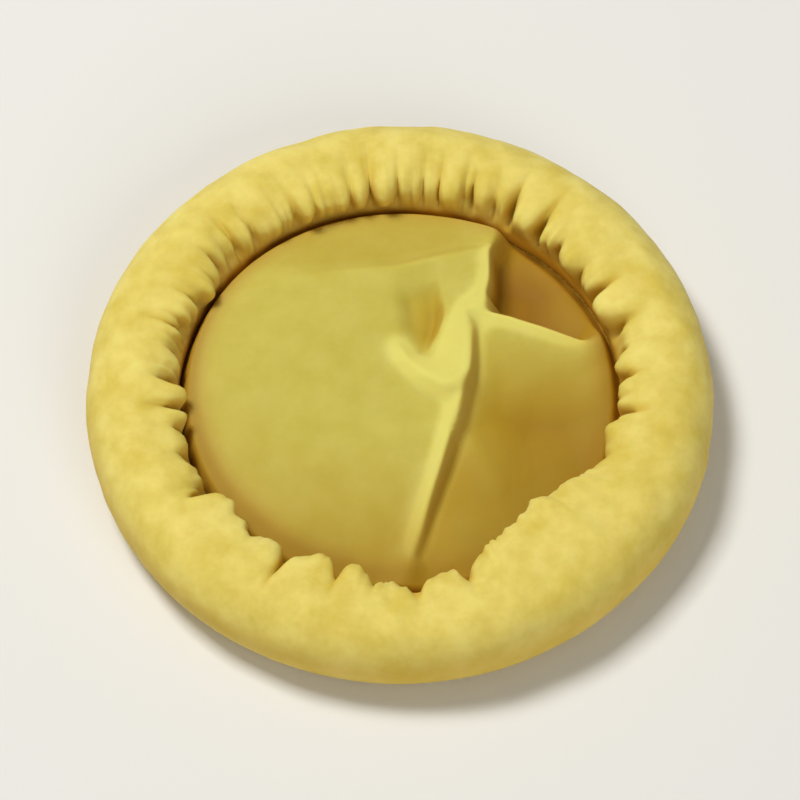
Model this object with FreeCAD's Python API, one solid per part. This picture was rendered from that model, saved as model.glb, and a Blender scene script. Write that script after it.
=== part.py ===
import FreeCAD, Part
import math
import os

from FreeCAD import Vector

# A finger cot of dipped latex, rolled up from its open end to its closed tip.
# It lies on its roll with the tip side up. The loose tip has sunk into the ring and creased there.
# The origin is in the middle of the ring, on the plane that the roll rests on.

# Driving dimensions of the ring, in millimetres
OUTSIDE_DIAMETER = 26.0
ROLL_WIDTH = 3.8
ROLL_HEIGHT = 4.0
FLAT_WIDTH = 1.4
WALL = 0.15
CREVICE_DEGREES = 20.0

# The loose inner edge of the roll's top layer. It lies inwards over the tip, most of all on one side,
# and is gathered into pleats: finest at the back left, widest and deepest opposite, none in the quiet part.
EDGE_FOOT_DEGREES = 174.0
EDGE_TOP_DEGREES = 88.0
LIP_OVERHANG = 0.5
EDGE_LIFT = 0.35
EDGE_PEAK = 0.7
BULGE = 1.1
BULGE_DEGREES = 313.0
BULGE_SPREAD_DEGREES = 22.0
PLEAT_COUNT = 44
PLEAT_DEPTH = 0.75
NOTCH_SHARPNESS = 3
PLEAT_UNEVENNESS = 0.45
UNEVEN_WAVES = 13
PITCH_CHANGE = 0.34
WIDEST_PLEATS_DEGREES = 290.0
QUIET_DEGREES = 315.0
QUIET_SPREAD_DEGREES = 20.0

# The film of the tip: heights above the resting plane, depths, rises and widths, in millimetres
PLATEAU_HEIGHT = 3.34
PLATEAU_FALL = 1.0
LIP_HEIGHT = 3.3
LIP_SINK = 1.1
PANEL_LOW_HEIGHT = 1.55
PANEL_SIDE_RISE = 0.5
PANEL_SIDE_WIDTH = 1.4
RECESS_HEIGHT = 1.15
POCKET_DEPTH = 1.25
POCKET_LIP_RISE = 0.22
POCKET_LIP_WIDTH = 0.5
CREASE_WIDTH = 0.5
RIDGE_RISE = 0.42
RIDGE_WIDTH = 0.5
SHOULDER_WIDTH = 0.5
RIM_RISE = 0.4
RIM_SHARPNESS = 5
CREST_ROUNDING = 0.25
CREASE_FADE = 4.0

# Where the creases of the film run, as shares of the radius of the opening
PLATEAU_TOP = (-0.20, 0.39)
BACK_CREST = 0.63
KNOT = (0.30, 0.02)
STRIP_START = 0.44
STRIP_SHIFT = 0.115
FREE_LIP_START = 0.40
PANEL_LOW_POINT = -0.25
POCKET_TIP = (0.105, 0.18)
POCKET_LENGTH = 0.46
POCKET_LEFT = 0.17
POCKET_RIGHT = 0.12
POCKET_LIP_MIDDLE = (0.14, 0.25)
POCKET_LIP_RADIUS = 0.20
FADE_START = 0.78

# How steeply the lines and slopes run: sideways or upwards for each millimetre along them
LOWER_CREASE_LEAN = 0.28
FREE_LIP_FALL = 0.22
BACK_CREST_LEAN = 0.1
BACK_SLOPE = 0.4
RIM_BANK_SLOPE = 1.0

# The pocket's width at its tip, as a share of its full width,
# and how fast the right panel rises in front of its lowest line, as a share of how fast it rises behind it
POCKET_TIP_SHARE = 0.4
PANEL_FRONT_SHARE = 0.3

# How finely the skin is drawn
DEGREE = 3
SPANS_PER_PLEAT = 4
QUARTERS = 4
ROLL_SPANS = 14
UNDERSIDE_SPANS = 5
SHOULDER_SPANS = 3
CROWDING = 0.6
CROWD_WIDTH = 1.2
CROWD_REACH = 4
SMALL_STEP = 1e-4
SAME_HEIGHT = 1e-6

# Sizes that follow from the driving dimensions
opening_radius = OUTSIDE_DIAMETER / 2 - ROLL_WIDTH
half_width = ROLL_WIDTH / 2
half_flat = FLAT_WIDTH / 2
roll_radius = OUTSIDE_DIAMETER / 2 - half_width
half_height = ROLL_HEIGHT / (1 + math.sqrt(1 - (half_flat / half_width) ** 2))
middle_height = ROLL_HEIGHT - half_height
flat_start = math.acos(half_flat / half_width)
crevice_dip = math.radians(CREVICE_DEGREES)
crevice_radius = roll_radius - half_width * math.cos(crevice_dip)
crevice_height = middle_height - half_height * math.sin(crevice_dip)
slot_radius = opening_radius - WALL
shoulder_start = slot_radius - SHOULDER_WIDTH
plain_share = shoulder_start / (slot_radius + middle_height - crevice_height)
quarter_spans = PLEAT_COUNT * SPANS_PER_PLEAT // QUARTERS


def around(radius, angle, height):
    """A point at a distance from the ring's axis, a direction and a height."""
    return Vector(radius * math.cos(angle), radius * math.sin(angle), height)


def rise(distance, width):
    """0 well before a line and 1 well after it, with a smooth change over about width."""
    return 0.5 + 0.5 * math.tanh(2 * distance / width)


def blend(before, after, share):
    """The value a share of the way from one to the other."""
    return before + (after - before) * share


def hump(distance, half_width_of_hump):
    """1 on a line and nothing away from it."""
    return math.exp(-((distance / half_width_of_hump) ** 2))


def near_direction(direction, middle_degrees, spread_degrees):
    """1 in one direction from the ring's middle, and nothing in the others."""
    off = math.remainder(direction - math.radians(middle_degrees), 2 * math.pi)
    return hump(off, math.radians(spread_degrees))


def pleat_turn(pleat):
    """How far round the widest pleats a place among the pleats would be, were they all alike."""
    return 2 * math.pi * pleat / PLEAT_COUNT - math.radians(WIDEST_PLEATS_DEGREES)


def pleat_direction(pleat):
    """The direction of a place among the pleats, counted in pleats. Their pitch changes round the ring."""
    return 2 * math.pi * pleat / PLEAT_COUNT + PITCH_CHANGE * math.sin(pleat_turn(pleat))


def pleat_notch(pleat):
    """How deep the notch at a place among the pleats is: the deeper the wider the pleats, and all uneven."""
    width = 1 + PITCH_CHANGE * math.cos(pleat_turn(pleat))
    chance = 1 + PLEAT_UNEVENNESS * math.sin(2 * math.pi * round(UNEVEN_WAVES) * pleat / PLEAT_COUNT)
    quiet = 1 - near_direction(pleat_direction(pleat), QUIET_DEGREES, QUIET_SPREAD_DEGREES)
    return PLEAT_DEPTH * width * chance * quiet * abs(math.cos(math.pi * pleat)) ** NOTCH_SHARPNESS


def roll_skin(pleat, share):
    """The roll's outside, from the crevice's bottom over the gathered edge to the flat that it rests on."""
    direction = pleat_direction(pleat)
    angle = math.pi + crevice_dip - share * (math.pi + crevice_dip + flat_start)
    foot = math.radians(EDGE_FOOT_DEGREES)
    top = math.radians(EDGE_TOP_DEGREES)
    climb = min(max((foot - angle) / (foot - top), 0.0), 1.0)
    overhang = LIP_OVERHANG + BULGE * near_direction(direction, BULGE_DEGREES, BULGE_SPREAD_DEGREES)
    inwards = (overhang - pleat_notch(pleat)) * math.sin(math.pi * climb ** EDGE_PEAK) ** 2
    radius = roll_radius + half_width * math.cos(angle) - inwards
    height = middle_height + half_height * math.sin(angle) + EDGE_LIFT * inwards
    return around(radius, direction, height)


def roll_underside(pleat, share):
    """The wall inside the roll's lower half, from the flat up to where the film leaves the roll."""
    angle = math.pi + blend(flat_start, crevice_dip, share)
    direction = pleat_direction(pleat)
    radius = roll_radius + half_width * math.cos(angle)
    plain = around(radius, direction, middle_height + half_height * math.sin(angle))
    crevice = around(crevice_radius, direction, crevice_height)
    return plain + (film_underside(math.cos(direction), math.sin(direction)) - crevice) * share


def higher(first, second, rounding):
    """The higher of two heights, with their meeting line rounded."""
    return (first + second + math.hypot(first - second, rounding)) / 2


def lower(first, second, rounding):
    """The lower of two heights, with their meeting line rounded."""
    return -higher(-first, -second, rounding)


def plateau(x, y):
    """The big panel on the left, the film's highest part, which falls away steeply behind its back crest."""
    crowned = PLATEAU_HEIGHT - PLATEAU_FALL * ((x - PLATEAU_TOP[0]) ** 2 + (y - PLATEAU_TOP[1]) ** 2)
    behind = (y - BACK_CREST - BACK_CREST_LEAN * x) * opening_radius
    return lower(crowned, PLATEAU_HEIGHT - BACK_SLOPE * behind, CREST_ROUNDING)


def lower_panel(x, y):
    """The panel on the right, which sags between its free lip, its front and the long crease on its left."""
    lip = LIP_HEIGHT - LIP_SINK * (x - KNOT[0])
    side_rise = PANEL_SIDE_RISE * hump((x - main_crease(y)) * opening_radius, PANEL_SIDE_WIDTH)
    behind_low = (y - PANEL_LOW_POINT) / (free_lip(x) - PANEL_LOW_POINT)
    held_up = behind_low ** 2 if behind_low > 0 else PANEL_FRONT_SHARE * behind_low ** 2
    return blend(PANEL_LOW_HEIGHT + side_rise, lip, held_up)


def free_lip(x):
    """How far back the lip of the right panel lies."""
    return FREE_LIP_START - FREE_LIP_FALL * (x - KNOT[0])


def main_crease(y):
    """How far right the long crease lies. It bends at the knot, and steps right beside the strip."""
    step = rise(y - STRIP_START, 2 * CREASE_WIDTH / opening_radius)
    return KNOT[0] + LOWER_CREASE_LEAN * min(y - KNOT[1], 0) + STRIP_SHIFT * step


def pocket(x, y):
    """The V-shaped pocket behind the knot: 1 in its middle, narrow at its tip and steeper on its right."""
    along = (y - POCKET_TIP[1]) / POCKET_LENGTH
    if along <= 0 or along >= 1:
        return 0.0
    across = x - POCKET_TIP[0]
    side = (POCKET_RIGHT if across > 0 else POCKET_LEFT) * blend(POCKET_TIP_SHARE, 1, along)
    return max(1 - abs(across) / side, 0.0) * math.sin(math.pi * along)


def pocket_lip(x, y):
    """The raised round lip in front of the pocket."""
    across = x - POCKET_LIP_MIDDLE[0]
    back = y - POCKET_LIP_MIDDLE[1]
    off = (math.hypot(across, back) - POCKET_LIP_RADIUS) * opening_radius
    return hump(off, POCKET_LIP_WIDTH) * rise(-back * opening_radius, POCKET_LIP_WIDTH)


def near_rim(x, y):
    """0 on most of the film, going up to 1 at its rim, where the creases fade out."""
    rim = shoulder_start / opening_radius
    return min(max((math.hypot(x, y) - FADE_START) / (rim - FADE_START), 0.0), 1.0)


def film_height(x, y):
    """The height of the creased film over a place given in shares of the opening's radius."""
    crease = CREASE_WIDTH / opening_radius * (1 + CREASE_FADE * near_rim(x, y))
    past_crease = x - main_crease(y)
    past_lip = y - free_lip(x)
    ridge = RIDGE_RISE * hump((past_crease + crease) * opening_radius, RIDGE_WIDTH)
    on_ridge = ridge * rise(STRIP_START - y, crease)
    left = plateau(x, y) - POCKET_DEPTH * pocket(x, y) + POCKET_LIP_RISE * pocket_lip(x, y) + on_ridge
    right = blend(lower_panel(x, y), RECESS_HEIGHT, rise(past_lip - crease / 2, crease))
    return blend(left, right, rise(past_crease, crease))


def rim_bank(radius):
    """The lowest that the film may lie near its rim, so that it always comes up out of the crevice."""
    return crevice_height + RIM_RISE - RIM_BANK_SLOPE * (shoulder_start - min(radius, shoulder_start))


def film_skin(across, back):
    """The film's upper side over a unit disc. Its rim turns straight down into the crevice."""
    share = math.hypot(across, back)
    angle = math.atan2(back, across)
    inner = min(share / plain_share, 1.0)
    down = max((share - plain_share) / (1 - plain_share), 0.0)
    turn = math.pi / 2 * down
    flare = (crevice_radius - slot_radius) * math.sin(math.pi / 2 * down ** RIM_SHARPNESS) ** 2
    radius = shoulder_start * inner + SHOULDER_WIDTH * math.sin(turn) + flare
    x = radius * math.cos(angle)
    y = radius * math.sin(angle)
    creased = film_height(x / opening_radius, y / opening_radius)
    height = higher(creased, rim_bank(radius), RIM_RISE / 2)
    return Vector(x, y, crevice_height + (height - crevice_height) * math.cos(turn))


def film_underside(across, back):
    """The film's lower side, one wall thickness inside its upper side."""
    step_across = film_skin(across + SMALL_STEP, back) - film_skin(across - SMALL_STEP, back)
    step_back = film_skin(across, back + SMALL_STEP) - film_skin(across, back - SMALL_STEP)
    outwards = step_across.cross(step_back).normalize()
    return film_skin(across, back) - outwards * WALL


def stations(spans):
    """Where the control points of so many smooth spans stand, from 0 to 1."""
    knots = [0] * DEGREE + list(range(spans + 1)) + [spans] * DEGREE
    return [sum(knots[i + 1:i + 1 + DEGREE]) / (DEGREE * spans) for i in range(spans + DEGREE)]


def smooth_face(point_at, spans_along, spans_up):
    """A smooth face through the control points point_at(along, up), both from 0 to 1."""
    poles = [[point_at(along, up) for up in stations(spans_up)] for along in stations(spans_along)]
    ends = DEGREE + 1
    counts_along = [ends] + [1] * (spans_along - 1) + [ends]
    counts_up = [ends] + [1] * (spans_up - 1) + [ends]
    surface = Part.BSplineSurface()
    knots_along = range(spans_along + 1)
    knots_up = range(spans_up + 1)
    surface.buildFromPolesMultsKnots(
        poles, counts_along, counts_up, knots_along, knots_up, False, False, DEGREE, DEGREE
    )
    return surface.toShape()


def quarter_pleat(quarter, along):
    """The place among the pleats at a share of one quarter of them."""
    return (quarter + along) * PLEAT_COUNT / QUARTERS


def shoulder_place(quarter, along, up):
    """A place on the film's rim, over the unit disc."""
    angle = pleat_direction(quarter_pleat(quarter, along))
    share = blend(1, plain_share, up)
    return share * math.cos(angle), share * math.sin(angle)


def panel_place(along, up):
    """A place on the film inside its rim: four arcs of the rim are its sides, joined evenly across."""
    front = shoulder_place(0, along, 1)
    rear = shoulder_place(2, 1 - along, 1)
    left = shoulder_place(3, 1 - up, 1)
    right = shoulder_place(1, up, 1)
    corners = [shoulder_place(quarter, 0, 1) for quarter in range(QUARTERS)]

    def even(side):
        between = blend(front[side], rear[side], up) + blend(left[side], right[side], along)
        low = blend(corners[0][side], corners[1][side], along)
        high = blend(corners[3][side], corners[2][side], along)
        return between - blend(low, high, up)

    return crowded(even(0), even(1))


def crowded(across, back):
    """The same place moved towards the creases, so that more control points draw them."""
    reach = shoulder_start / plain_share / opening_radius
    width = CROWD_WIDTH / opening_radius
    free = CROWDING * (1 - min(math.hypot(across, back) / plain_share, 1.0) ** CROWD_REACH)
    beyond = across * reach - main_crease(back * reach)
    across -= free * beyond * hump(beyond, width) / reach
    behind = back * reach - free_lip(across * reach)
    back -= free * behind * hump(behind, width) * rise(beyond, width) / reach
    return across, back


def film_faces(film):
    """One side of the film: its panels in one face, and four faces of its rim."""
    faces = [smooth_face(lambda along, up: film(*panel_place(along, up)), quarter_spans, quarter_spans)]
    for quarter in range(QUARTERS):
        faces.append(smooth_face(
            lambda along, up: film(*shoulder_place(quarter, along, up)), quarter_spans, SHOULDER_SPANS
        ))
    return faces


def roll_faces(skin, spans_up):
    """One side of the roll, in four faces."""
    return [
        smooth_face(lambda along, up: skin(quarter_pleat(quarter, along), up), quarter_spans, spans_up)
        for quarter in range(QUARTERS)
    ]


def resting_edge(faces):
    """The closed outline of the faces on the plane that the roll rests on."""
    edges = [edge for face in faces for edge in face.Edges if edge.BoundBox.ZMax < SAME_HEIGHT]
    return Part.Wire(Part.__sortEdges__(edges))


def finger_cot():
    """The whole cot as one closed skin."""
    outside = roll_faces(roll_skin, ROLL_SPANS)
    underside = roll_faces(roll_underside, UNDERSIDE_SPANS)
    flat = Part.Face([resting_edge(outside), resting_edge(underside)])
    skin = Part.makeShell(outside + underside + [flat] + film_faces(film_skin) + film_faces(film_underside))
    skin.sewShape()
    solid = Part.makeSolid(skin)
    return solid if solid.Volume > 0 else solid.reversed()


os.makedirs("parts", exist_ok=True)
finger_cot().exportStep("parts/finger_cot.step")
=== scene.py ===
import bpy
import math

import bmesh
import numpy as np
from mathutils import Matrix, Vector
from mathutils.geometry import delaunay_2d_cdt


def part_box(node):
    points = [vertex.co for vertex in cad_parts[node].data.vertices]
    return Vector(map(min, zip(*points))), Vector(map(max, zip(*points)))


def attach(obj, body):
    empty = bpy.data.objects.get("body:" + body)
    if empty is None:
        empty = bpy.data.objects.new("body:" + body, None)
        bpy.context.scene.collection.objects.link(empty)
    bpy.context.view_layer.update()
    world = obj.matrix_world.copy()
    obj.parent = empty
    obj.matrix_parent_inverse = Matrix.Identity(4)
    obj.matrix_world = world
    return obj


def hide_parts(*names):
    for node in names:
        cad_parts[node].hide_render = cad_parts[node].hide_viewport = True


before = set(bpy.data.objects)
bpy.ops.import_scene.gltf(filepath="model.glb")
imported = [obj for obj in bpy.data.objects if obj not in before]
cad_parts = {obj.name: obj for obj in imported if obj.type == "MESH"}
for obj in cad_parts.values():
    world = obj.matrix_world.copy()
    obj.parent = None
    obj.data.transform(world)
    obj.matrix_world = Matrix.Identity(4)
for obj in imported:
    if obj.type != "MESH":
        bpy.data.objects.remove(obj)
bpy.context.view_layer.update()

MM = 0.001
low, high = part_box("finger_cot")

# Sizes of the rolled ring, in metres. The outside radius is read from the frame.
OUTSIDE_RADIUS = (high[0] - low[0]) / 2
ROLL_HEIGHT = 4.0 * MM
ROLL_WIDTH = 3.8 * MM
FLAT_WIDTH = 1.4 * MM
WALL = 0.15 * MM
CREVICE_DIP = math.radians(20)

# The film's rim, where it turns down beside the roll
SHOULDER_WIDTH = 0.34 * MM
RIM_SHARPNESS = 5

# The ring's loose inner edge: where it is drawn inwards, measured round the roll's section, by how much and
# how unevenly, and how far it rises for each millimetre inwards
EDGE_FOOT = math.radians(176)
EDGE_TOP = math.radians(84)
LIP_OVERHANG = 0.5 * MM
LIP_UNEVENNESS = (0.55, 1.65)
EDGE_LIFT = 0.35

# It is gathered into pleats: finest at the back left, widest and deepest opposite, none in the quiet part.
# A furrow as deep as the last depth here has its full painted shade.
PLEATS = 44
PLEAT_DEPTH = 0.7 * MM
PLEAT_UNEVENNESS = 0.45
UNEVEN_WAVES = 13
PITCH_CHANGE = 0.34
WIDEST_PLEATS = math.radians(290)
NOTCH_SHARE = 0.14
FURROW_SHARPNESS = 1.2
FURROW_DEPTH = 0.75 * MM

# Where it is quiet, where it is folded far up and where it is streaked: each a direction and a spread
QUIET_PART = (math.radians(315), math.radians(20))
FRONT_FOLDS = (math.radians(253), math.radians(26))
BACK_STREAKS = (math.radians(112), math.radians(62))

# How far up the edge the pleats reach, and what depth, the front, the back and chance add to that
PLEAT_REACH = 0.72
DEPTH_REACH = 0.5
FRONT_REACH = 0.35
BACK_REACH = 0.3
CHANCE_REACH = (-0.12, 0.25)

# What chance adds to a pleat's place, as a share of its pitch, and to its depth
PITCH_CHANCE = 0.13
DEPTH_CHANCE = 0.3

# Finer gathers between the pleats: the least and the most of their width in radians, depth in mm and reach,
# and how much deeper the streaks make them
FINE_GATHERS = 140
FINE_LEAST = (0.008, 0.05, 0.6)
FINE_MOST = (0.02, 0.2, 1.4)
STREAK_DEPTH = 2

# At the front right the edge bulges inwards over the film, and one gather at the left is much deeper:
# each has a direction, a width, a depth and a reach, as every gather does.
BULGE = (math.radians(313), math.radians(22), -1.1 * MM, 1.3)
DEEP_GATHER = (math.radians(164), math.radians(1.4), 0.9 * MM, 1.3)
SEED = 4

# How far up the edge each form reaches, where 0 is the edge's foot and 1 its top. It starts at the first
# number, is whole from the second to the third, and ends at the fourth. A gather ends at its own reach.
DRAWN_IN = (0.0, 0.4, 0.45, 1.0)
WRINKLED = (0.0, 0.3, 0.7, 1.7)
PILLOWED = (0.1, 0.5, 1.0, 1.8)
GATHERED = (0.0, 0.28, 0.15)

# How wide one patch of each uneven form is: a wave 3.3 mm, a pillow 1.6 mm and a ripple of the film 2.6 mm.
# What follows the edge round the ring is measured in radians.
WAVE_SIZE = 1 / 300
PILLOW_SIZE = 1 / 620
RIPPLE_SIZE = 1 / 380
WRINKLE_ANGLE = 1 / 13
OVERHANG_ANGLE = 1 / 3.5
WRINKLE_STRETCH = 0.12

# The sizes that the gathers tree is given
GATHER_SIZES = {
    "Lip overhang": LIP_OVERHANG,
    "Edge lift": EDGE_LIFT,
    "Wrinkle depth": 0.5 * MM,
    "Waviness": 0.36 * MM,
    "Pillow height": 0.42 * MM,
    "Film waviness": 0.10 * MM,
    "Seed": float(SEED),
}

# How finely the skin is meshed
SIDE_CELLS = 156
ROLL_ROWS = 64
ROW_CROWDING = 1.35
WELD = 1e-7

half_width = ROLL_WIDTH / 2
roll_radius = OUTSIDE_RADIUS - half_width
half_flat = FLAT_WIDTH / 2
half_height = ROLL_HEIGHT / (1 + math.sqrt(1 - (half_flat / half_width) ** 2))
middle_height = ROLL_HEIGHT - half_height
opening_radius = OUTSIDE_RADIUS - ROLL_WIDTH
crevice_radius = roll_radius - half_width * math.cos(CREVICE_DIP)
crevice_height = middle_height - half_height * math.sin(CREVICE_DIP)
slot_radius = opening_radius - WALL
shoulder_start = slot_radius - SHOULDER_WIDTH
plain_share = shoulder_start / (slot_radius + middle_height - crevice_height)


# Camera and light

CAMERA_ELEVATION = math.radians(60)
CAMERA_DISTANCE = 0.36
CAMERA_LENS = 392
FLOOR_SIZE = 3.0


def aim(thing, target):
    thing.rotation_euler = (Vector(target) - thing.location).to_track_quat("-Z", "Y").to_euler()


def set_camera():
    camera = bpy.data.objects.new("camera", bpy.data.cameras.new("camera"))
    bpy.context.scene.collection.objects.link(camera)
    target = Vector((0, 0, ROLL_HEIGHT / 2))
    towards = Vector((0, -math.cos(CAMERA_ELEVATION), math.sin(CAMERA_ELEVATION)))
    camera.location = target + towards * CAMERA_DISTANCE
    camera.data.lens = CAMERA_LENS
    camera.data.clip_start = 0.01
    aim(camera, target)
    bpy.context.scene.camera = camera


def soft_light(name, place, size, energy, colour):
    lamp = bpy.data.lights.new(name, "AREA")
    lamp.size = size
    lamp.energy = energy
    lamp.color = colour
    holder = bpy.data.objects.new(name, lamp)
    bpy.context.scene.collection.objects.link(holder)
    holder.location = place
    aim(holder, (0, 0, 0))


def light_studio():
    soft_light("key_light", place=(-0.145, 0.10, 0.36), size=0.12, energy=1.16, colour=(1.0, 0.98, 0.93))
    soft_light("fill_light", place=(0.17, -0.34, 0.26), size=0.25, energy=0.55, colour=(1.0, 0.98, 0.92))
    world = bpy.data.worlds.new("studio")
    world.use_nodes = True
    background = world.node_tree.nodes["Background"].inputs
    background["Color"].default_value = (1.0, 0.975, 0.92, 1.0)
    background["Strength"].default_value = 0.19
    bpy.context.scene.world = world
    bpy.context.scene.view_settings.view_transform = "Standard"


def lay_floor(material):
    bpy.ops.mesh.primitive_plane_add(size=FLOOR_SIZE, location=(0, 0, 0))
    floor = bpy.context.active_object
    floor.name = "floor"
    floor.data.materials.append(material)


# Materials

# Talc lies in clouds about 1.5 mm across. Its grains are far finer than a picture shows, so they are drawn
# 0.15 mm across.
TALC_CLOUD = 1 / 650
TALC_GRAIN = 1 / 6500
GRAIN_HEIGHT = 0.02 * MM

# The ring's inner wall ends between these radii
INNER_WALL = (9.3 * MM, 9.7 * MM)

# The painted shade along the film's rim reaches further in at the front than at the back, by this share of
# how far forward it is
RIM_SHADE_LEAN = 0.055


def linear(hex_colour):
    """An sRGB colour such as e6d46c, as the linear colour that Blender mixes."""
    parts = [int(hex_colour[i:i + 2], 16) / 255 for i in (0, 2, 4)]
    return [p / 12.92 if p <= 0.04045 else ((p + 0.055) / 1.055) ** 2.4 for p in parts] + [1.0]


def add(tree, kind, links=(), **settings):
    """The outputs of a new node with these settings and links, given by socket or in the sockets' order.

    A link is a value for its socket, or another node's socket to join to it.
    """
    node = tree.nodes.new(kind)
    for name, value in settings.items():
        setattr(node, name, value)
    for socket, value in links.items() if isinstance(links, dict) else enumerate(links):
        if isinstance(value, bpy.types.NodeSocket):
            tree.links.new(value, node.inputs[socket])
        else:
            node.inputs[socket].default_value = value
    return node.outputs


def new_material(name):
    material = bpy.data.materials.new(name)
    material.use_nodes = True
    material.node_tree.nodes.clear()
    return material, material.node_tree


def powdered_latex():
    """Natural rubber latex, dipped on a former and powdered.

    It is soft pale yellow and matte, and light passes through it. Shade is painted into its folds, hollows,
    steep walls and sides, and along the film's rim.
    """
    material, tree = new_material("powdered_dipped_latex")
    place = add(tree, "ShaderNodeTexCoord")["Object"]
    film, climb, fold = (
        add(tree, "ShaderNodeAttribute", attribute_name=name)["Fac"] for name in ("film", "climb", "fold")
    )
    axes = add(tree, "ShaderNodeSeparateXYZ", {0: place})
    plan = add(tree, "ShaderNodeCombineXYZ", {"X": axes["X"], "Y": axes["Y"]})[0]
    radius = add(tree, "ShaderNodeVectorMath", {0: plan}, operation="LENGTH")["Value"]
    lean = add(tree, "ShaderNodeMath", (axes["Y"], RIM_SHADE_LEAN), operation="MULTIPLY")[0]
    shaded_rim_place = add(tree, "ShaderNodeMath", (radius, lean), operation="SUBTRACT")[0]
    normal = add(tree, "ShaderNodeNewGeometry")["Normal"]
    facing_up = add(tree, "ShaderNodeSeparateXYZ", {0: normal})["Z"]
    height = axes["Z"]

    clouds = add(tree, "ShaderNodeTexNoise", {
        "Vector": place, "Scale": 1 / TALC_CLOUD, "Detail": 3, "Roughness": 0.6,
    })["Fac"]
    grain = add(tree, "ShaderNodeTexNoise", {
        "Vector": place, "Scale": 1 / TALC_GRAIN, "Detail": 2, "Roughness": 0.7,
    })["Fac"]

    # The film is marked -1 in climb, and the roll 0 and more above the crevice
    on_film, on_roll, inside, powder = (
        add(tree, "ShaderNodeMapRange", change, interpolation_type="SMOOTHSTEP")[0]
        for change in (
            (climb, -1.0, 0.0, 1.0, 0.0),
            (climb, -1.0, 0.0, 0.0, 1.0),
            (radius, *INNER_WALL, 1.0, 0.0),
            (clouds, 0.15, 0.85, 0.0, 1.0),
        )
    )
    on_wall = add(tree, "ShaderNodeMath", (inside, on_roll), operation="MULTIPLY")[0]
    doubled = add(tree, "ShaderNodeMath", (on_film, film), operation="SUBTRACT")[0]

    roll_tone, film_tone = (
        add(tree, "ShaderNodeMix", {0: powder, 6: linear(bare), 7: linear(powdered)}, data_type="RGBA")[2]
        for bare, powdered in (("dcc554", "f4e484"), ("d0bc50", "dcc962"))
    )
    tone = add(tree, "ShaderNodeMix", {0: film, 6: roll_tone, 7: film_tone}, data_type="RGBA")[2]

    # Painted shade: the ochre and brown that light takes in folds, from passing through the latex or off it
    # several times, are painted in. A low place is painted ochre and a deep one brown, and so are a steep
    # wall of film, the roll's sides and inner wall, and the film's rim beside the ring.
    # Each row says what the tone follows, from where to where, how much of it there is at both ends, and on
    # what part it lies.
    for follows, start, end, first, last, part, colour in (
        # A doubled fold lets less light through, so it looks paler than the single wall beside it, and its
        # crest is painted paler still, a painted highlight
        (doubled, 0.2, 1.0, 0.0, 0.8, on_film, "fce678"),
        # Painted shade in the gathers' furrows and the film's hollows: ochre, then brown where they are
        # deepest
        (fold, 0.05, 0.8, 0.0, 0.6, 1.0, "d6b436"),
        (fold, 0.6, 1.3, 0.0, 0.25, 1.0, "a3741c"),
        # Painted shade on the roll's sides, where it faces sideways or down
        (facing_up, 0.0, 0.65, 0.5, 0.0, on_roll, "d0a436"),
        # Painted shade along the film's rim beside the ring: a tan band, then a dark brown line under the
        # roll's lip
        (shaded_rim_place, 7.6 * MM, 8.5 * MM, 0.0, 0.6, on_film, "c69c4a"),
        (shaded_rim_place, 8.1 * MM, 8.7 * MM, 0.0, 0.5, on_film, "94701f"),
        # Painted shade in low places: orange-brown on the roll's inner wall, ochre on the film
        (height, 1.7 * MM, 3.1 * MM, 0.85, 0.0, on_wall, "dca424"),
        (height, 1.7 * MM, 3.1 * MM, 0.85, 0.0, on_film, "b1891a"),
        # Painted shade on steep walls of film
        (facing_up, 0.5, 0.9, 0.6, 0.0, on_film, "b68a26"),
        # Painted shade, brown, in the film's deepest places
        (height, 0.9 * MM, 2.0 * MM, 0.95, 0.0, on_film, "9a6a1c"),
    ):
        change = (follows, start, end, first, last)
        share = add(tree, "ShaderNodeMapRange", change, interpolation_type="SMOOTHSTEP")[0]
        reached = add(tree, "ShaderNodeMath", (share, part), operation="MULTIPLY")[0]
        tone = add(tree, "ShaderNodeMix", {0: reached, 6: tone, 7: linear(colour)}, data_type="RGBA")[2]

    bump = add(tree, "ShaderNodeBump", {
        "Height": grain, "Strength": 0.25, "Distance": GRAIN_HEIGHT,
    })["Normal"]
    shader = add(tree, "ShaderNodeBsdfPrincipled", {
        "Base Color": tone, "Normal": bump, "Roughness": 0.6, "IOR": 1.52,
        "Subsurface Weight": 0.45, "Subsurface Radius": (1.0, 0.65, 0.2), "Subsurface Scale": 0.8 * MM,
        "Specular IOR Level": 0.12,
    })["BSDF"]
    add(tree, "ShaderNodeOutputMaterial", {"Surface": shader})
    return material


def floor_paint():
    """Matte white paint: it only takes the soft shadow."""
    material, tree = new_material("matte_white_paint")
    shader = add(tree, "ShaderNodeBsdfPrincipled", {"Base Color": linear("eeeeec"), "Roughness": 0.8})["BSDF"]
    add(tree, "ShaderNodeOutputMaterial", {"Surface": shader})
    return material


# The skin of the roll


def around(radius, direction, height):
    """Points at a distance from the ring's axis, in a direction and at a height."""
    return np.stack([radius * np.cos(direction), radius * np.sin(direction), height + 0 * direction], -1)


def roll_skin():
    """The roll's plain skin, from the bottom of the crevice over the top and under, back to the film."""
    columns = 4 * SIDE_CELLS
    direction = -math.pi / 4 + 2 * math.pi * np.arange(columns + 1) / columns
    share = (np.arange(ROLL_ROWS + 1) / ROLL_ROWS) ** ROW_CROWDING
    angle = math.pi + CREVICE_DIP - 2 * math.pi * share
    inner_flat = -math.pi + math.acos(half_flat / half_width)
    inside = np.clip((inner_flat - angle) / (inner_flat - angle[-1]), 0, 1)
    radius = roll_radius + half_width * np.cos(angle) - WALL * inside
    height = np.maximum(middle_height + half_height * np.sin(angle), 0)
    climb = (EDGE_FOOT - angle) / (EDGE_FOOT - EDGE_TOP)
    climb[angle < 0] = 2
    points = around(radius[:, None], direction[None, :], height[:, None])
    return points, np.repeat(climb[:, None], columns + 1, 1)


# The film of the tip, as folded. It is nearly flat between its folds, and each fold is a little rounded.

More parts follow.
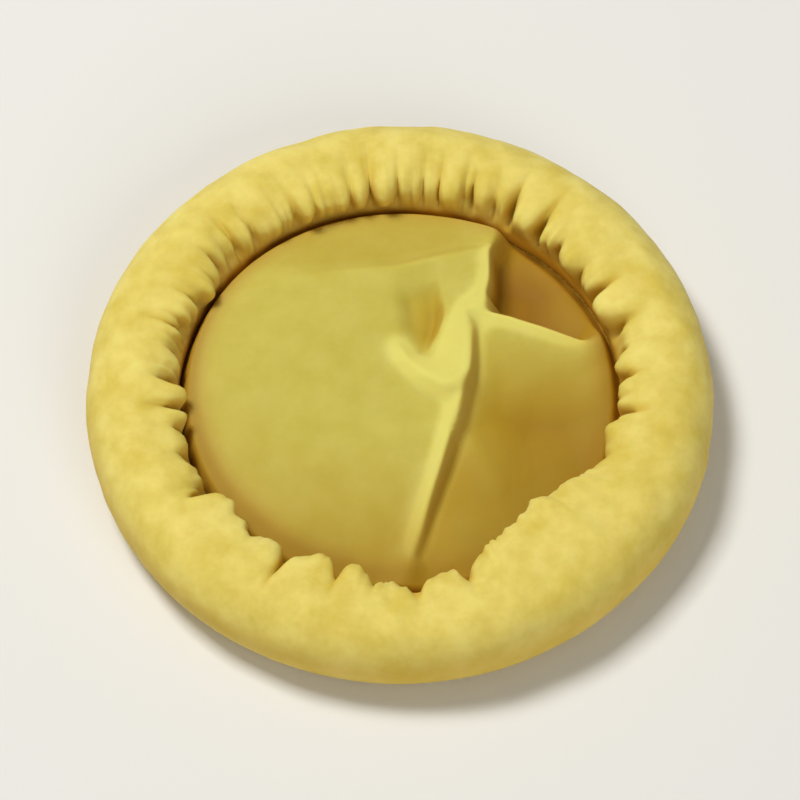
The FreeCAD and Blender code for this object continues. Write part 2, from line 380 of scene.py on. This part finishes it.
# Points round its rim: the direction in degrees and the height in millimetres
RIM = [
    (0, 2.1), (12, 2.3), (19, 2.6), (25, 1.75), (38, 1.6), (52, 1.6), (58, 1.7), (62, 2.9), (70, 2.65),
    (80, 2.45), (92, 2.4), (106, 2.4), (120, 2.5), (136, 2.65), (150, 2.75), (165, 2.75), (180, 2.7),
    (195, 2.6), (210, 2.4), (225, 2.2), (240, 2.05), (254, 1.95), (264, 1.95), (271, 2.15), (276, 1.85),
    (290, 1.9), (305, 1.85), (320, 1.7), (333, 1.65), (346, 1.8),
]

# Points along each fold, in millimetres, with their height
CRISP_FOLDS = {
    "pocket's floor": [(1.0, 1.75, 2.85), (0.6, 3.1, 2.68), (0.4, 4.3, 2.8)],
    "pocket's crisp floor": [
        (1.0, 1.75, 2.85), (1.25, 2.7, 2.42), (1.38, 3.6, 2.4), (1.3, 4.4, 2.62), (1.0, 5.0, 3.05),
    ],
    "pocket's crisp side": [(1.15, 1.6, 3.05), (1.55, 2.5, 3.22), (1.85, 3.35, 3.34), (2.7, 3.65, 3.38)],
    "fold behind the pocket": [(1.85, 3.35, 3.34), (1.8, 4.2, 3.05), (1.6, 5.2, 3.24)],
    "lip to strip": [(2.7, 3.65, 3.38), (3.2, 3.9, 3.3), (3.6, 4.4, 3.22), (3.8, 5.2, 3.2), (3.8, 6.7, 3.18)],
    "foot of the strip": [(3.9, 4.6, 1.6), (4.02, 5.4, 1.3), (4.02, 6.6, 1.35)],
    "main ridge": [
        (2.6, -0.15, 3.45), (2.25, -1.6, 3.22), (1.8, -3.2, 3.0), (1.2, -5.2, 2.7), (0.5, -7.4, 2.25),
    ],
    "foot of the ridge": [
        (3.2, 3.2, 3.05), (3.25, 1.9, 2.82), (3.1, 0.2, 2.5), (2.7, -1.7, 2.25), (2.1, -3.3, 2.05),
        (1.45, -5.3, 1.95), (0.85, -7.4, 1.85),
    ],
    "pocket's lip": [
        (-0.2, 2.1, 3.27), (0.35, 1.1, 3.42), (1.15, 0.35, 3.58), (1.95, -0.1, 3.64), (2.6, -0.15, 3.54),
        (2.92, 0.7, 3.58), (2.95, 2.2, 3.55), (2.7, 3.65, 3.38),
    ],
    "outside of the lip": [(-0.6, 1.3, 3.15), (0.1, 0.35, 3.12), (0.95, -0.4, 3.08), (1.8, -0.9, 3.04)],
    "free lip": [(2.7, 3.65, 3.38), (3.5, 3.66, 3.24), (4.6, 3.45, 3.08), (6.0, 3.05, 2.92), (7.6, 2.5, 2.7)],
    "foot of the lip": [(3.9, 4.6, 1.6), (4.6, 3.95, 1.35), (5.9, 3.5, 1.25), (7.4, 2.9, 1.5)],
    "back crest": [
        (-6.5, 4.7, 2.95), (-4.6, 5.3, 3.1), (-2.4, 5.45, 3.28), (-0.2, 5.6, 3.36), (1.8, 6.15, 3.34),
        (3.8, 6.7, 3.18),
    ],
}
SOFT_FOLDS = {
    "foot of the back slope": [(-5.0, 6.1, 2.7), (-2.4, 6.4, 2.6), (0.4, 6.6, 2.6), (2.6, 7.2, 2.6)],
    "middle of the tongue": [(1.75, 0.9, 3.4), (2.15, 1.8, 3.42), (2.4, 2.9, 3.42)],
    "pocket's soft side": [(-0.2, 5.0, 3.28), (-0.15, 3.6, 3.26), (-0.05, 2.5, 3.26)],
    "hollow beside the ridge": [(1.2, -1.9, 2.98), (0.5, -4.0, 2.62), (-0.4, -6.8, 2.15)],
    "back of the recess": [(4.6, 5.6, 1.15), (5.8, 5.2, 1.15)],
    "fall of the right panel": [(4.0, 1.7, 2.55), (5.6, 1.5, 2.45), (7.3, 1.0, 2.2)],
    "low of the right panel": [(4.1, -0.8, 1.8), (5.3, -1.1, 1.5), (6.9, -1.2, 1.55)],
    "foot of the right panel": [(2.9, -4.6, 1.95), (4.4, -4.8, 1.85), (5.9, -4.4, 1.75)],
    "crown of the left panel": [(-4.8, 3.2, 3.22), (-4.5, 0.4, 3.1), (-4.8, -2.4, 2.78)],
    "middle of the left panel": [
        (-2.2, 3.6, 3.34), (-1.8, 0.4, 3.22), (-2.2, -2.6, 2.86), (-2.6, -5.0, 2.45),
    ],
}
FOLDS = {**CRISP_FOLDS, **SOFT_FOLDS}

# The folds where the film lies double, and how far beside them, in millimetres
DOUBLED_FOLDS = ("pocket's lip", "middle of the tongue", "free lip", "main ridge", "lip to strip")
DOUBLED_WIDTH = 0.6

# How strongly the film bulges between its folds, and how that is worked out: by many sweeps over the grid,
# each going a little too far so that they settle sooner
PUFF = 0.04
SWEEPS = 260
SWEEP_GAIN = 1.93

# The grid that its heights are worked out on, in millimetres, and in its cells how far each kind of edge is
# rounded, how far from a fold the film is crisp, and how far a hollow is looked for
FILM_GRID = 0.06
CRISP_ROUNDING = 2.0
SOFT_ROUNDING = 5.0
CRISP_WIDTH = 5.0
HOLLOW_REACH = 22.0
HOLLOW_DEPTH = 0.6
BLUR_REACH = 2.2
BESIDE_GAIN = 2.5

# When two places count as one, when a place lies on a line, both in millimetres, when a triangle has no area,
# and the least that a length is divided by
SAME_PLACE = 1e-6
ON_THE_LINE = 1e-4
NO_AREA = 1e-9
TINY = 1e-12


def folded_net():
    """The corners and triangles of the folded film, out to its rim."""
    reach = shoulder_start / MM
    corners, edges = [], []
    for degrees, level in RIM:
        turn = math.radians(degrees)
        corners.append((reach * math.cos(turn), reach * math.sin(turn), level))
        edges.append((len(corners) - 1, len(corners) % len(RIM)))
    places = {}
    for fold in FOLDS.values():
        for before, after in zip([None] + fold, fold):
            if after not in places:
                places[after] = len(corners)
                corners.append(after)
            if before:
                edges.append((places[before], places[after]))
    flat = [Vector(c[:2]) for c in corners]
    found = delaunay_2d_cdt(flat, edges, [], 0, SAME_PLACE)
    heights = [
        np.mean([corners[i][2] for i in source]) if source else crossing_height(place, corners, edges)
        for place, source in zip(found[0], found[3])
    ]
    return [tuple(v) for v in found[0]], heights, found[2]


def crossing_height(place, corners, edges):
    """The height where two folds cross: halfway between theirs."""
    levels = []
    for start, end in edges:
        a, b = corners[start], corners[end]
        before, after, length = math.dist(a[:2], place), math.dist(place, b[:2]), math.dist(a[:2], b[:2])
        if before + after < length + ON_THE_LINE:
            levels.append(a[2] + (b[2] - a[2]) * before / length)
    return sum(levels) / len(levels)


def draped(ticks):
    """The net's height over a square grid, with the rim's level beyond it."""
    x, y = np.meshgrid(ticks, ticks)
    turn = np.degrees(np.arctan2(y, x)) % 360
    degrees = [RIM[-1][0] - 360] + [d for d, _ in RIM] + [RIM[0][0] + 360]
    levels = [RIM[-1][1]] + [level for _, level in RIM] + [RIM[0][1]]
    height = np.interp(turn, degrees, levels)
    places, levels, triangles = folded_net()
    for triangle in triangles:
        (ax, ay), (bx, by), (cx, cy) = (places[i] for i in triangle)
        za, zb, zc = (levels[i] for i in triangle)
        double_area = (bx - ax) * (cy - ay) - (cx - ax) * (by - ay)
        if abs(double_area) < NO_AREA:
            continue
        part = np.ix_(
            (ticks >= min(ay, by, cy) - SAME_PLACE) & (ticks <= max(ay, by, cy) + SAME_PLACE),
            (ticks >= min(ax, bx, cx) - SAME_PLACE) & (ticks <= max(ax, bx, cx) + SAME_PLACE),
        )
        px, py = x[part], y[part]
        b = ((px - ax) * (cy - ay) - (cx - ax) * (py - ay)) / double_area
        c = ((bx - ax) * (py - ay) - (px - ax) * (by - ay)) / double_area
        inside = (b >= -SAME_PLACE) & (c >= -SAME_PLACE) & (b + c <= 1 + SAME_PLACE)
        height[part] = np.where(inside, za + b * (zb - za) + c * (zc - za), height[part])
    return height


def marked(ticks, folds):
    """The grid's points that lie on these folds."""
    step = ticks[1] - ticks[0]
    held = np.zeros((len(ticks), len(ticks)), bool)
    for fold in folds:
        for start, end in zip(fold, fold[1:]):
            for share in np.linspace(0, 1, int(2 * math.dist(start[:2], end[:2]) / step) + 2):
                column = round((start[0] + (end[0] - start[0]) * share - ticks[0]) / step)
                row = round((start[1] + (end[1] - start[1]) * share - ticks[0]) / step)
                held[row, column] = True
    return held


def puffed(ticks):
    """How far the film bulges between its folds: nothing on them, most in the middle of a wide panel."""
    x, y = np.meshgrid(ticks, ticks)
    step = ticks[1] - ticks[0]
    held = marked(ticks, FOLDS.values()) | (np.hypot(x, y) >= shoulder_start / MM)
    rise = np.zeros_like(x)
    even = (np.add.outer(np.arange(len(ticks)), np.arange(len(ticks))) % 2 == 0) & ~held
    odd = ~even & ~held
    for _ in range(SWEEPS):
        for turn in (even, odd):
            mean = np.zeros_like(rise)
            mean[1:-1, 1:-1] = (rise[:-2, 1:-1] + rise[2:, 1:-1] + rise[1:-1, :-2] + rise[1:-1, 2:]) / 4
            rise = np.where(turn, rise + SWEEP_GAIN * (mean + PUFF * step ** 2 / 4 - rise), rise)
    return rise


def beside(ticks, folds, cells):
    """1 on these folds, falling to 0 over so many cells beside them."""
    spread = blurred(marked(ticks, folds).astype(float), cells)
    return np.clip(spread * BESIDE_GAIN * cells, 0, 1)


def film_heights():
    """Over a square grid: the folded film's heights in millimetres, where it lies double, and its hollows."""
    reach = opening_radius / MM
    count = int(2 * reach / FILM_GRID) + 3
    ticks = (np.arange(count) - (count - 1) / 2) * FILM_GRID
    shape = draped(ticks) + puffed(ticks)
    crisp = beside(ticks, CRISP_FOLDS.values(), CRISP_WIDTH)
    heights = crisp * blurred(shape, CRISP_ROUNDING) + (1 - crisp) * blurred(shape, SOFT_ROUNDING)
    doubled = beside(ticks, [FOLDS[name] for name in DOUBLED_FOLDS], DOUBLED_WIDTH / FILM_GRID)
    hollow = np.clip((blurred(heights, HOLLOW_REACH) - heights) / HOLLOW_DEPTH, 0, 1)
    return ticks, heights, doubled, hollow


def blurred(heights, cells):
    """The heights with every edge rounded over so many cells."""
    reach = math.ceil(BLUR_REACH * cells)
    offsets = np.arange(-reach, reach + 1)
    weights = np.exp(-((offsets / cells) ** 2))
    weights /= weights.sum()
    for axis in (0, 1):
        padded = np.pad(heights, [(reach, reach) if a == axis else (0, 0) for a in (0, 1)], "edge")
        heights = sum(
            w * np.take(padded, np.arange(reach + o, reach + o + heights.shape[axis]), axis)
            for o, w in zip(offsets, weights)
        )
    return heights


def sampled(ticks, heights, x, y):
    """The grid's height between its points."""
    step = ticks[1] - ticks[0]
    last = len(ticks) - 1.001
    column = np.clip((x - ticks[0]) / step, 0, last)
    row = np.clip((y - ticks[0]) / step, 0, last)
    c, r = column.astype(int), row.astype(int)
    fc, fr = column - c, row - r
    lower = heights[r, c] * (1 - fc) + heights[r, c + 1] * fc
    upper = heights[r + 1, c] * (1 - fc) + heights[r + 1, c + 1] * fc
    return lower * (1 - fr) + upper * fr


def disc_places():
    """A square grid bent into a unit disc, with its outer rows evenly spaced round the rim."""
    side = np.linspace(-1, 1, SIDE_CELLS + 1)
    u, v = np.meshgrid(side, side)
    wide = np.abs(u) >= np.abs(v)
    share = np.where(wide, np.abs(u), np.abs(v))
    safe_u = np.where(u == 0, 1, u)
    safe_v = np.where(v == 0, 1, v)
    direction = np.where(wide, math.pi / 4 * v / safe_u, math.pi / 2 - math.pi / 4 * u / safe_v)
    direction = np.where(wide & (u < 0), direction + math.pi, direction)
    direction = np.where(~wide & (v < 0), direction + math.pi, direction)
    return share, direction


def film_skin(ticks, heights, share, direction):
    """The film's upper side. Its rim turns straight down into the crevice."""
    inner = np.minimum(share / plain_share, 1)
    down = np.maximum((share - plain_share) / (1 - plain_share), 0)
    turn = math.pi / 2 * down
    flare = (crevice_radius - slot_radius) * np.sin(math.pi / 2 * down ** RIM_SHARPNESS) ** 2
    radius = shoulder_start * inner + SHOULDER_WIDTH * np.sin(turn) + flare
    points = around(radius, direction, 0 * radius)
    level = sampled(ticks, heights, points[..., 0] / MM, points[..., 1] / MM) * MM
    points[..., 2] = crevice_height + (level - crevice_height) * np.cos(turn)
    return points


def film_sides():
    """The film's upper and lower side, one wall apart, where it lies double, and its hollows."""
    ticks, heights, doubled, hollow = film_heights()
    share, direction = disc_places()
    upper = film_skin(ticks, heights, share, direction)
    along = np.gradient(upper, axis=1)
    across = np.gradient(upper, axis=0)
    outwards = np.cross(along, across)
    outwards /= np.maximum(np.linalg.norm(outwards, axis=-1, keepdims=True), TINY)
    lower = upper - outwards * WALL
    rim = share > 1 - SAME_PLACE
    lower[rim] = around(crevice_radius - WALL, direction[rim], crevice_height)
    x, y = upper[..., 0] / MM, upper[..., 1] / MM
    return upper, lower, sampled(ticks, doubled, x, y), sampled(ticks, hollow, x, y)


def grid_faces(rows, columns, start, turned):
    """Four-cornered faces between neighbouring points of a grid."""
    r, c = np.meshgrid(np.arange(rows - 1), np.arange(columns - 1), indexing="ij")
    a = start + r * columns + c
    quads = np.stack([a, a + 1, a + columns + 1, a + columns], -1).reshape(-1, 4)
    return quads[:, ::-1] if turned else quads


def cot_mesh():
    """The whole skin, closed: the roll, and the film's two sides.

    It notes how far up the inner edge each point is, which part is film, and how deep in a fold it is.
    """
    roll, climb = roll_skin()
    upper, lower, doubled, hollow = film_sides()
    none, whole = 0 * doubled, 0 * doubled + 1
    parts = [
        (roll, False, climb, 0 * climb, 0 * climb),
        (upper, False, -whole, 1 - doubled, hollow),
        (lower, True, -whole, whole, none),
    ]
    points, faces, climbs, film, folds, start = [], [], [], [], [], 0
    for grid, turned, height_up, thin, deep in parts:
        rows, columns = grid.shape[:2]
        points.append(grid.reshape(-1, 3))
        faces.append(grid_faces(rows, columns, start, turned))
        climbs.append(height_up.reshape(-1))
        film.append(thin.reshape(-1))
        folds.append(deep.reshape(-1))
        start += rows * columns
    mesh = bpy.data.meshes.new("finger_cot_skin")
    mesh.from_pydata(np.concatenate(points).tolist(), [], np.concatenate(faces).tolist())
    for name, values in (("climb", climbs), ("film", film), ("fold", folds)):
        layer = mesh.attributes.new(name, "FLOAT", "POINT")
        layer.data.foreach_set("value", np.concatenate(values).astype(np.float32))
    shape = bmesh.new()
    shape.from_mesh(mesh)
    bmesh.ops.remove_doubles(shape, verts=shape.verts, dist=WELD)
    bmesh.ops.recalc_face_normals(shape, faces=shape.faces)
    shape.to_mesh(mesh)
    shape.free()
    mesh.polygons.foreach_set("use_smooth", [True] * len(mesh.polygons))
    return mesh


# The gathers of the ring's inner edge


def near(direction, middle, spread):
    """1 in one direction from the ring's middle, going down to 0 away from it."""
    off = math.remainder(direction - middle, 2 * math.pi)
    return math.exp(-((off / spread) ** 2))


def gathers():
    """Each gather's direction, width, depth and reach up the edge. A negative depth is a bulge inwards."""
    chance = np.random.default_rng(SEED)
    furrows = [BULGE, DEEP_GATHER]
    for pleat in range(PLEATS):
        turn = 2 * math.pi * pleat / PLEATS
        pitch = 1 + PITCH_CHANGE * math.cos(turn - WIDEST_PLEATS)
        direction = turn + PITCH_CHANGE * math.sin(turn - WIDEST_PLEATS)
        direction += chance.normal(0, PITCH_CHANCE) * pitch * 2 * math.pi / PLEATS
        uneven_depth = PLEAT_UNEVENNESS * math.sin(UNEVEN_WAVES * turn)
        uneven_depth += chance.uniform(-DEPTH_CHANCE, DEPTH_CHANCE)
        gathered_here = 1 - near(direction, *QUIET_PART)
        width = NOTCH_SHARE * pitch * 2 * math.pi / PLEATS
        depth = PLEAT_DEPTH * pitch * (1 + uneven_depth) * gathered_here
        reach = PLEAT_REACH + DEPTH_REACH * uneven_depth + chance.uniform(*CHANCE_REACH)
        reach += FRONT_REACH * near(direction, *FRONT_FOLDS)
        reach += BACK_REACH * near(direction, *BACK_STREAKS)
        furrows.append((direction, width, depth, reach))
    for direction in chance.uniform(-math.pi, math.pi, FINE_GATHERS):
        width, depth, reach = chance.uniform(FINE_LEAST, FINE_MOST)
        streak = BACK_REACH * near(direction, *BACK_STREAKS)
        depth *= (1 + STREAK_DEPTH * streak) * MM * (1 - near(direction, *QUIET_PART))
        furrows.append((direction, width, depth, reach + streak))
    return furrows


def gather_places():
    """One point for each gather, for the gathers tree to read."""
    furrows = gathers()
    mesh = bpy.data.meshes.new("gather_places")
    mesh.from_pydata([(0, 0, 0)] * len(furrows), [], [])
    for name, values in zip(("turn", "width", "depth", "reach"), zip(*furrows)):
        layer = mesh.attributes.new(name, "FLOAT", "POINT")
        layer.data.foreach_set("value", values)
    return mesh


def band(tree, climb, start, full, fading, end):
    """Where a form lies on the way up the edge: 0 before its start and after its end, 1 between."""
    begun, left = (
        add(tree, "ShaderNodeMapRange", change, interpolation_type="SMOOTHSTEP")[0]
        for change in ((climb, start, full, 0.0, 1.0), (climb, fading, end, 1.0, 0.0))
    )
    return add(tree, "ShaderNodeMath", (begun, left), operation="MULTIPLY")[0]


def uneven(tree, place, seed, size, detail, height, roughness=0.5):
    """A soft chance rise and fall in patches of this size, up to half this height either way."""
    patches = add(tree, "ShaderNodeTexNoise", {
        "Vector": place, "W": seed, "Scale": 1 / size, "Detail": detail, "Roughness": roughness,
    }, noise_dimensions="4D")["Fac"]
    either_way = add(tree, "ShaderNodeMath", (patches, 0.5), operation="SUBTRACT")[0]
    return add(tree, "ShaderNodeMath", (either_way, height), operation="MULTIPLY")[0]


def pushed(tree, skin, along, distance):
    """The skin with each point pushed along a direction."""
    offset = add(tree, "ShaderNodeVectorMath", {0: along, "Scale": distance}, operation="SCALE")[0]
    return add(tree, "GeometryNodeSetPosition", {"Geometry": skin, "Offset": offset})[0]


def gathers_tree(latex):
    """Draws the ring's loose inner edge inwards, folds the gathers into it and makes the skin uneven."""
    tree = bpy.data.node_groups.new("gathers", "GeometryNodeTree")
    ports = tree.interface
    ports.new_socket("Skin", in_out="INPUT", socket_type="NodeSocketGeometry")
    ports.new_socket("Gather places", in_out="INPUT", socket_type="NodeSocketObject")
    for name in GATHER_SIZES:
        ports.new_socket(name, in_out="INPUT", socket_type="NodeSocketFloat")
    ports.new_socket("Cot", in_out="OUTPUT", socket_type="NodeSocketGeometry")
    given = add(tree, "NodeGroupInput")
    position = add(tree, "GeometryNodeInputPosition")["Position"]
    axes = add(tree, "ShaderNodeSeparateXYZ", {0: position})
    direction = add(tree, "ShaderNodeMath", (axes["Y"], axes["X"]), operation="ARCTAN2")[0]
    cosine = add(tree, "ShaderNodeMath", (direction,), operation="COSINE")[0]
    sine = add(tree, "ShaderNodeMath", (direction,), operation="SINE")[0]
    down = add(tree, "ShaderNodeMath", (given["Edge lift"], -1.0), operation="MULTIPLY")[0]
    outwards = add(tree, "ShaderNodeCombineXYZ", {"X": cosine, "Y": sine, "Z": down})[0]
    climb, fold_before, turns, widths, depths, reaches = (
        add(tree, "GeometryNodeInputNamedAttribute", {"Name": name}, data_type="FLOAT")[0]
        for name in ("climb", "fold", "turn", "width", "depth", "reach")
    )

    # The loose edge lies inwards all round, here more and there less, and wrinkles finely across
    upwards = add(tree, "ShaderNodeMath", (climb, WRINKLE_STRETCH), operation="MULTIPLY")[0]
    edge_place = add(tree, "ShaderNodeCombineXYZ", {"X": cosine, "Y": sine, "Z": upwards})[0]
    wrinkle = uneven(tree, edge_place, given["Seed"], WRINKLE_ANGLE, 2.0, given["Wrinkle depth"], 0.55)
    wrinkled = add(
        tree, "ShaderNodeMath", (wrinkle, band(tree, climb, *WRINKLED)), operation="MULTIPLY"
    )[0]
    turn_place = add(tree, "ShaderNodeCombineXYZ", {"X": cosine, "Y": sine})[0]
    patches = add(tree, "ShaderNodeTexNoise", {
        "Vector": turn_place, "W": given["Seed"], "Scale": 1 / OVERHANG_ANGLE, "Detail": 1.0,
    }, noise_dimensions="4D")["Fac"]
    share = add(
        tree, "ShaderNodeMapRange", (patches, 0.35, 0.65, *LIP_UNEVENNESS), interpolation_type="SMOOTHSTEP"
    )[0]
    overhang = add(tree, "ShaderNodeMath", (share, given["Lip overhang"]), operation="MULTIPLY")[0]
    inwards = add(
        tree, "ShaderNodeMath", (band(tree, climb, *DRAWN_IN), overhang), operation="MULTIPLY"
    )[0]
    drawn = add(tree, "ShaderNodeMath", (wrinkled, inwards), operation="SUBTRACT")[0]
    skin = pushed(tree, given["Skin"], outwards, drawn)

    # Each gather pulls a narrow furrow outwards and down, from the crevice up to its reach
    places = add(tree, "GeometryNodeObjectInfo", {"Object": given["Gather places"]})["Geometry"]
    count = add(tree, "GeometryNodeAttributeDomainSize", {"Geometry": places})["Point Count"]
    begin = tree.nodes.new("GeometryNodeRepeatInput")
    end = tree.nodes.new("GeometryNodeRepeatOutput")
    begin.pair_with_output(end)
    tree.links.new(count, begin.inputs["Iterations"])
    tree.links.new(skin, begin.inputs["Geometry"])
    turn, width, depth, reach = (
        add(tree, "GeometryNodeSampleIndex", {
            "Geometry": places, "Value": values, "Index": begin.outputs["Iteration"],
        }, data_type="FLOAT")[0]
        for values in (turns, widths, depths, reaches)
    )
    furrow = direction
    for operation, *values in (
        ("SUBTRACT", turn), ("WRAP", math.pi, -math.pi), ("DIVIDE", width), ("ABSOLUTE",),
        ("POWER", FURROW_SHARPNESS), ("MULTIPLY", -1.0), ("EXPONENT",),
        ("MULTIPLY", band(tree, climb, *GATHERED, reach)), ("MULTIPLY", depth),
    ):
        furrow = add(tree, "ShaderNodeMath", (furrow, *values), operation=operation)[0]
    folded = pushed(tree, begin.outputs["Geometry"], outwards, furrow)
    deep = add(tree, "ShaderNodeMath", (furrow, 1 / FURROW_DEPTH), operation="MULTIPLY")[0]
    deepest = add(tree, "ShaderNodeMath", (fold_before, deep), operation="MAXIMUM")[0]
    noted = add(tree, "GeometryNodeStoreNamedAttribute", {
        "Geometry": folded, "Name": "fold", "Value": deepest,
    }, data_type="FLOAT")[0]
    tree.links.new(noted, end.inputs["Geometry"])

    # The roll is a little uneven, most on its inner half, but it still lies flat where it rests
    normal = add(tree, "GeometryNodeInputNormal")["Normal"]
    off_floor, on_roll = (
        add(tree, "ShaderNodeMapRange", change, interpolation_type="SMOOTHSTEP")[0]
        for change in ((axes["Z"], 0.4 * MM, 2.2 * MM, 0.0, 1.0), (climb, 0.0, 0.3, 0.0, 1.0))
    )
    free = add(tree, "ShaderNodeMath", (off_floor, on_roll), operation="MULTIPLY")[0]
    wave = uneven(tree, position, given["Seed"], WAVE_SIZE, 2.0, given["Waviness"])
    wave = add(tree, "ShaderNodeMath", (wave, free), operation="MULTIPLY")[0]
    pillow = uneven(tree, position, given["Seed"], PILLOW_SIZE, 1.0, given["Pillow height"])
    pillow = add(
        tree, "ShaderNodeMath", (pillow, band(tree, climb, *PILLOWED)), operation="MULTIPLY"
    )[0]
    swell = add(tree, "ShaderNodeMath", (wave, pillow), operation="ADD")[0]
    roll_done = pushed(tree, end.outputs["Geometry"], normal, swell)

    # So is the film, away from its rim
    plan = add(tree, "ShaderNodeCombineXYZ", {"X": axes["X"], "Y": axes["Y"]})[0]
    radius = add(tree, "ShaderNodeVectorMath", {0: plan}, operation="LENGTH")["Value"]
    on_film = add(tree, "ShaderNodeMath", (climb, -0.5), operation="LESS_THAN")[0]
    off_rim = add(
        tree, "ShaderNodeMapRange", (radius, shoulder_start - 0.6 * MM, slot_radius, 1.0, 0.0),
        interpolation_type="SMOOTHSTEP"
    )[0]
    free = add(tree, "ShaderNodeMath", (on_film, off_rim), operation="MULTIPLY")[0]
    ripple = uneven(tree, plan, given["Seed"], RIPPLE_SIZE, 2.0, given["Film waviness"])
    lift = add(tree, "ShaderNodeMath", (ripple, free), operation="MULTIPLY")[0]
    film_done = pushed(tree, roll_done, (0.0, 0.0, 1.0), lift)
    real = add(tree, "GeometryNodeRealizeInstances", {0: film_done})[0]
    dressed = add(tree, "GeometryNodeSetMaterial", {"Geometry": real, "Material": latex})[0]
    add(tree, "NodeGroupOutput", {0: dressed})
    return tree


def gathered(piece, tree, sizes):
    """The piece with its gathers in its mesh and no modifier left."""
    modifier = piece.modifiers.new("gathers", "NODES")
    modifier.node_group = tree
    for socket in tree.interface.items_tree:
        if socket.in_out == "INPUT" and socket.name in sizes:
            modifier[socket.identifier] = sizes[socket.name]
    shown = piece.evaluated_get(bpy.context.evaluated_depsgraph_get())
    mesh = bpy.data.meshes.new_from_object(shown)
    piece.modifiers.clear()
    piece.data = mesh


def make_cot(latex):
    piece = bpy.data.objects.new("rolled_latex_cot", cot_mesh())
    places = bpy.data.objects.new("gather_places", gather_places())
    for thing in (piece, places):
        bpy.context.scene.collection.objects.link(thing)
    gathered(piece, gathers_tree(latex), {"Gather places": places, **GATHER_SIZES})
    bpy.data.objects.remove(places)
    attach(piece, "root")
    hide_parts("finger_cot")


set_camera()
light_studio()
lay_floor(floor_paint())
make_cot(powdered_latex())
